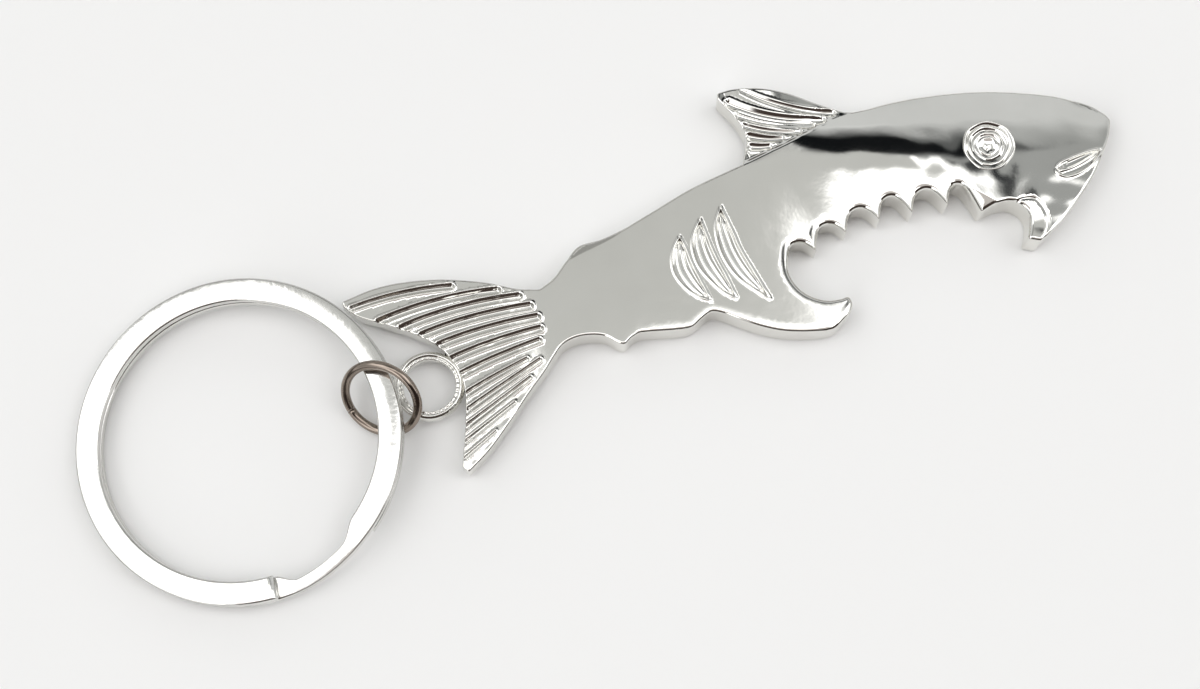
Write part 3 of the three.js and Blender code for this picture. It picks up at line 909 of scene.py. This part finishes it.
def make_eye():
    piece = spin(section_piece("shark_eye", EYE_SECTION), 96, 2 * math.pi)
    for vertex in piece.data.vertices:
        x, y, z = vertex.co / MM
        r, angle = math.hypot(x, y), math.atan2(y, x)
        wobble = 1 + 0.02 * math.sin(3 * angle + 0.7 * r) + 0.012 * math.sin(7 * angle + 2 * r)
        shift = PUPIL_SHIFT * (1 - min(r / 2.45, 1.0)) if r < 2.3 else 0.0
        lift = 0.03 * math.sin(5 * angle + 3 * r) if 0.7 < r < 2.6 else 0.0
        vertex.co = Vector((x * wobble + shift, y * wobble, z + lift)) * MM
    pupil = new_object("pupil", bpy.ops.mesh.primitive_cone_add, vertices=3, radius1=0.56 * MM,
                       radius2=0.12 * MM, depth=0.12 * MM, location=(PUPIL_SHIFT * MM, 0, 0.05 * MM),
                       rotation=(0, 0, -math.pi / 2))
    bevel = pupil.modifiers.new("bevel", "BEVEL")
    bevel.width, bevel.segments = 0.05 * MM, 2
    bpy.ops.object.modifier_apply(modifier="bevel")
    piece.select_set(True)
    pupil.select_set(True)
    bpy.context.view_layer.objects.active = piece
    bpy.ops.object.join()
    return piece


eye = make_eye()
finish_piece(eye, eye_frame(), "opener")

# %% [markdown]
# The eyelet in the fork of the tail is a ring with a small bead round its hole and a broad rounded one
# outside it. The small bead is slightly notched all round, and the whole top waves a little.

# %% The eyelet
EYELET_PLACE = (-34.25, -3.95)
EYELET_SECTION = [(2.6, -0.4), (2.6, 0.2), (2.65, 0.38), (2.74, 0.46), (2.83, 0.42), (2.9, 0.36),
                  (2.97, 0.43), (3.04, 0.55), (3.12, 0.6), (3.21, 0.57), (3.3, 0.5), (3.39, 0.4),
                  (3.47, 0.28), (3.53, 0.12), (3.55, -0.1), (3.52, -0.35), (3.42, -0.62), (3.2, -0.74),
                  (2.9, -0.7), (2.68, -0.6)]


def make_eyelet():
    piece = spin(section_piece("eyelet", EYELET_SECTION), 144, 2 * math.pi)
    for vertex in piece.data.vertices:
        x, y, z = vertex.co / MM
        r, angle = math.hypot(x, y), math.atan2(y, x)
        notch = 0.03 * math.sin(36 * angle) if r < 2.9 and z > 0.35 else 0.0
        wave = 0.03 * math.sin(5 * angle + 1) + 0.02 * math.sin(11 * angle)
        vertex.co = Vector((x * (1 + notch / r), y * (1 + notch / r), z + notch + wave * (z > 0.2))) * MM
    return piece


eyelet = make_eyelet()
finish_piece(eyelet, Matrix.Translation(in_frame(EYELET_PLACE, 1.8)), "opener")

# %% [markdown]
# The jump ring is round steel wire bent to a circle, its two ends meeting at a fine gap.

# %% The jump ring
JUMP_CENTRE = Vector((-24.431, -1.781, 3.581)) * MM
JUMP_TILT, JUMP_HEADING = math.radians(47.8), math.radians(46)
JUMP_RADIUS, JUMP_WIRE, JUMP_GAP = 3.85, 0.9, 0.12


def circle_section(centre, radius, n):
    turn = [2 * math.pi * k / n for k in range(n)]
    return [(centre + radius * math.cos(t), radius * math.sin(t)) for t in turn]


def make_jump_ring():
    piece = section_piece("jump_ring_wire", circle_section(JUMP_RADIUS, JUMP_WIRE / 2, 24))
    gap = JUMP_GAP / JUMP_RADIUS
    spin(piece, 128, 2 * math.pi - gap, cap=True)
    piece.data.transform(Matrix.Rotation(math.pi + gap / 2, 4, "Z"))
    return piece


jump_normal = Vector((-math.sin(JUMP_TILT) * math.cos(JUMP_HEADING),
                      -math.sin(JUMP_TILT) * math.sin(JUMP_HEADING), math.cos(JUMP_TILT)))
jump_turn = Vector((0, 0, 1)).rotation_difference(jump_normal).to_matrix().to_4x4()
jump_ring = make_jump_ring()
jump_place = Matrix.Translation(JUMP_CENTRE) @ jump_turn
finish_piece(jump_ring, jump_place, "jump_ring", "jump_ring")

# %% [markdown]
# The split ring is flat wire wound nearly twice round. Its section is spun nearly once round and every
# angle is then doubled, so the two turns come out as one piece. Between them the wire narrows and steps
# up, and there its ends show.

# %% The split key ring
KEY_CENTRE = Vector((-38.901, -0.674, 2.443)) * MM
KEY_LEAN = math.radians(5.092)
KEY_OUTER, KEY_WIDTH, KEY_THICK, KEY_GAP, JOG_WIDTH = 16.3, 2.35, 0.95, 0.1, 1.3
JOG_START, JOG_END = math.radians(-94), math.radians(-54)
KEY_SWEEP = 4 * math.pi - (JOG_END - JOG_START)


def flat_section():
    """The wire's section: a plane whose corners are bevelled round."""
    piece = new_object("split_ring_wire", bpy.ops.mesh.primitive_plane_add, size=1,
                       rotation=(math.pi / 2, 0, 0))
    piece.data.transform(Matrix.Diagonal((KEY_WIDTH * MM, 1, KEY_THICK * MM, 1)) @ piece.matrix_world)
    piece.matrix_world = Matrix()
    bpy.ops.object.mode_set(mode="EDIT")
    bpy.ops.mesh.select_all(action="SELECT")
    bpy.ops.mesh.bevel(affect="VERTICES", offset=0.24 * MM, segments=5)
    bpy.ops.object.mode_set(mode="OBJECT")
    piece.data.transform(Matrix.Translation(((KEY_OUTER - KEY_WIDTH / 2) * MM, 0, 0)))
    return piece


def wind_up(piece):
    level = (KEY_THICK + KEY_GAP) / 2
    far = max(math.atan2(v.co.y, v.co.x) % (2 * math.pi) for v in piece.data.vertices if abs(v.co.y) > 1e-6)
    way = -1 if far > KEY_SWEEP / 2 + 0.01 else 1
    for vertex in piece.data.vertices:
        x, y, z = vertex.co / MM
        turned = math.atan2(way * y, x) % (2 * math.pi)
        if turned > 2 * math.pi - 1e-4:
            turned = 0.0
        angle = JOG_START + 2 * math.pi - 2 * turned
        rise = float(ramp(angle, JOG_START, JOG_END))
        neck = float(ramp(angle, JOG_START, JOG_START + 0.15) * (1 - ramp(angle, JOG_END - 0.2, JOG_END)))
        width = KEY_WIDTH + (JOG_WIDTH - KEY_WIDTH) * neck
        r = KEY_OUTER - width * (KEY_OUTER - math.hypot(x, y)) / KEY_WIDTH
        vertex.co = Vector((r * math.cos(angle), r * math.sin(angle), z + level * (2 * rise - 1))) * MM


def make_key_ring():
    piece = flat_section()
    spin(piece, 330, -KEY_SWEEP / 2)
    wind_up(piece)
    return face_outward(piece)


key_ring = make_key_ring()
key_place = Matrix.Translation(KEY_CENTRE) @ Matrix.Rotation(-KEY_LEAN, 4, "Y")
finish_piece(key_ring, key_place, "key_ring", "split_key_ring")

# %% [markdown]
# The finishes are three plated or polished metals. Each is one metal shader whose tone, roughness and
# surface vary a little over some millimetres, all laid out in the object's own coordinates, so that the
# pattern has its real size. A slight swelling of the surface, far smaller than anything modelled, bends
# the reflections the way a plated skin does.

# %% Materials


def linear(hex_colour):
    value = [int(hex_colour[i:i + 2], 16) / 255 for i in (1, 3, 5)]
    return tuple(v / 12.92 if v <= 0.04045 else ((v + 0.055) / 1.055) ** 2.4 for v in value) + (1.0,)


def add(tree, kind, settings=None, **links):
    """Adds a node; settings go to its properties or inputs, links join its inputs to other nodes' outputs."""
    node = tree.nodes.new(kind)
    for name, value in (settings or {}).items():
        if isinstance(name, str) and hasattr(node, name):
            setattr(node, name, value)
        else:
            node.inputs[name].default_value = value
    for name, source in links.items():
        key = int(name[1:]) if name[0] == "i" and name[1:].isdigit() else name.replace("_", " ")
        tree.links.new(source, node.inputs[key])
    return node


def plated_metal(name, bright, dull, roughness, peel, peel_size):
    material = bpy.data.materials.new(name)
    material.use_nodes = True
    tree = material.node_tree
    shader = tree.nodes["Principled BSDF"]
    shader.inputs["Metallic"].default_value = 1.0
    where = add(tree, "ShaderNodeTexCoord").outputs["Object"]
    cloud = add(tree, "ShaderNodeTexNoise", {"Scale": 1 / 0.006, "Detail": 3.0}, Vector=where)
    tone = add(tree, "ShaderNodeMix", {"data_type": "RGBA"}, Factor=cloud.outputs["Fac"])
    for socket in tone.inputs:
        if socket.type == "RGBA":
            socket.default_value = linear(bright if socket.name == "A" else dull)
    tree.links.new([s for s in tone.outputs if s.type == "RGBA"][0], shader.inputs["Base Color"])
    spread = add(tree, "ShaderNodeMapRange", {"To Min": roughness[0], "To Max": roughness[1]},
                 Value=cloud.outputs["Fac"])
    tree.links.new(spread.outputs["Result"], shader.inputs["Roughness"])
    skin = add(tree, "ShaderNodeTexNoise", {"Scale": 1 / peel_size, "Detail": 2.0}, Vector=where)
    bump = add(tree, "ShaderNodeBump", {"Strength": 1.0, "Distance": peel}, Height=skin.outputs["Fac"])
    tree.links.new(bump.outputs["Normal"], shader.inputs["Normal"])
    return material


# Bright nickel on zinc. The zinc is die cast, tumbled smooth, then copper and nickel plated in a tank: the
# plating levels out the finest marks and leaves a mirror with a soft swell, faintly warm.
plated_zinc = plated_metal("bright_nickel_on_zinc", "#EDECE8", "#DDDCD7", (0.05, 0.10), 0.000004, 0.0011)
# Polished steel wire, drawn through a die and tumbled after coiling: darker and browner than the plating,
# with a blurred shine.
wire_finish = plated_metal("polished_steel_wire", "#A3978D", "#857A70", (0.08, 0.16), 0.000004, 0.0006)
# Nickel on rolled spring steel: the flat wire is rolled, coiled, hardened and barrel plated, so its face
# is bright with patches dulled by rubbing against other rings.
ring_finish = plated_metal("rolled_plated_steel", "#F2F1EE", "#C4C3BF", (0.06, 0.2), 0.00001, 0.0007)
for piece, finish in ((casting, plated_zinc), (eye, plated_zinc), (eyelet, plated_zinc),
                      (jump_ring, wire_finish), (key_ring, ring_finish)):
    piece.data.materials.clear()
    piece.data.materials.append(finish)
    print(piece.name, "is finished in", finish.name)

# %% [markdown]
# The floor is matt white board. A mirror-like metal shows whatever stands around it, so the light is a
# photographer's tent: a bright white dome with grey and black cards in it. The cards are painted on the
# world by angle: how far each reaches north and east of the zenith, or, near the horizon, how high it
# stands and how far round from south. The grey one overhead gives the flat body its tone, a black one
# the band along the cheek, and the dark card in the south the lines in the tail. The soft light from all
# sides leaves only a faint shadow.

# %% Floor and light


def lay_floor():
    bpy.ops.mesh.primitive_plane_add(size=3.0, location=(0, 0, -0.00002))
    floor = bpy.context.object
    floor.name = "floor"
    material = bpy.data.materials.new("matt_white_board")
    material.use_nodes = True
    shader = material.node_tree.nodes["Principled BSDF"]
    shader.inputs["Base Color"].default_value = linear("#F6F6F5")
    shader.inputs["Roughness"].default_value = 0.9
    shader.inputs["Specular IOR Level"].default_value = 0.0
    floor.data.materials.append(material)
    return floor


floor = lay_floor()

DOME = (2.3, 2.3, 2.31)
# Screens in the light tent: north angles from the zenith, east angles from the zenith, softness, light
SCREENS = [
    ((-48, -4), (-30, 13), 5.0, (0.62, 0.58, 0.56)),
    ((11.4, 30), (-11, 14), 2.8, (0.62, 0.625, 0.61)),
    ((52, 95), (-60, 85), 10.0, (0.88, 0.88, 0.87)),
    ((27, 62), (-30, 9), 4.0, (0.36, 0.36, 0.35)),
    ((8, 50), (16.5, 85), 4.0, (0.40, 0.41, 0.405)),
    ((30, 75), (44, 80), 10.0, (0.5, 0.51, 0.505)),
    ((22, 50), (12, 31), 5.0, (0.12, 0.125, 0.125)),
    ((24, 48), (9, 25), 3.0, (0.006, 0.007, 0.008)),
    ((45, 57), (34, 41), 4.0, (0.006, 0.007, 0.008)),
    ((7, 20), (18.5, 22), 2.0, (0.02, 0.022, 0.025)),
]
# Near the horizon: heights over it, angles about south, softness, light
HORIZON = [
    ((-6, 13), (-200, 200), 5.0, (0.12, 0.11, 0.10)),
    ((13, 42), (60, 200), 16.0, (0.7, 0.71, 0.71)),
    ((13, 42), (-200, -60), 16.0, (0.7, 0.71, 0.71)),
    ((9, 52), (-42, 50), 6.0, (0.06, 0.046, 0.04)),
]


def light_tent():
    world = bpy.data.worlds.new("light_tent")
    bpy.context.scene.world = world
    world.use_nodes = True
    tree = world.node_tree
    tree.nodes.clear()
    way = add(tree, "ShaderNodeTexCoord").outputs["Generated"]
    axis = add(tree, "ShaderNodeSeparateXYZ", Vector=way).outputs

    def angle(y, x):
        turn = add(tree, "ShaderNodeMath", {"operation": "ARCTAN2"}, i0=y, i1=x)
        return add(tree, "ShaderNodeMath", {"operation": "DEGREES"}, i0=turn.outputs[0]).outputs[0]

    south = add(tree, "ShaderNodeMath", {"operation": "MULTIPLY", 1: -1.0}, i0=axis["Y"]).outputs[0]
    rise = add(tree, "ShaderNodeMath", {"operation": "ARCSINE"}, i0=axis["Z"]).outputs[0]
    height = add(tree, "ShaderNodeMath", {"operation": "DEGREES"}, i0=rise).outputs[0]
    north_angle, east_angle = angle(axis["Y"], axis["Z"]), angle(axis["X"], axis["Z"])
    about_south = angle(axis["X"], south)

    def soft_step(value, at, soft, before, after):
        span = {"From Min": at - soft / 2, "From Max": at + soft / 2, "To Min": before, "To Max": after}
        return add(tree, "ShaderNodeMapRange", {"interpolation_type": "SMOOTHSTEP", **span}, Value=value)

    def between(value, low, high, soft):
        rise, fall = soft_step(value, low, soft, 0.0, 1.0), soft_step(value, high, soft, 1.0, 0.0)
        return add(tree, "ShaderNodeMath", {"operation": "MULTIPLY"}, i0=rise.outputs[0], i1=fall.outputs[0])

    light = add(tree, "ShaderNodeRGB")
    light.outputs[0].default_value = DOME + (1.0,)
    light = light.outputs[0]
    screens = [(north_angle, east_angle, *s) for s in SCREENS] + [(height, about_south, *h) for h in HORIZON]
    for first, second, (a0, a1), (b0, b1), soft, colour in screens:
        a, b = between(first, a0, a1, soft), between(second, b0, b1, soft)
        both = add(tree, "ShaderNodeMath", {"operation": "MULTIPLY"}, i0=a.outputs[0], i1=b.outputs[0])
        mix = add(tree, "ShaderNodeMix", {"data_type": "RGBA"})
        tree.links.new(both.outputs[0], mix.inputs[0])
        sockets = [s for s in mix.inputs if s.type == "RGBA"]
        tree.links.new(light, sockets[0])
        sockets[1].default_value = colour + (1.0,)
        light = [s for s in mix.outputs if s.type == "RGBA"][0]
    background = add(tree, "ShaderNodeBackground", {"Strength": 1.0}, Color=light)
    add(tree, "ShaderNodeOutputWorld", Surface=background.outputs[0])
    return world


world = light_tent()
print("floor", tuple(round(v, 3) for v in floor.dimensions))
print(len(SCREENS) + len(HORIZON), "cards in", world.name)
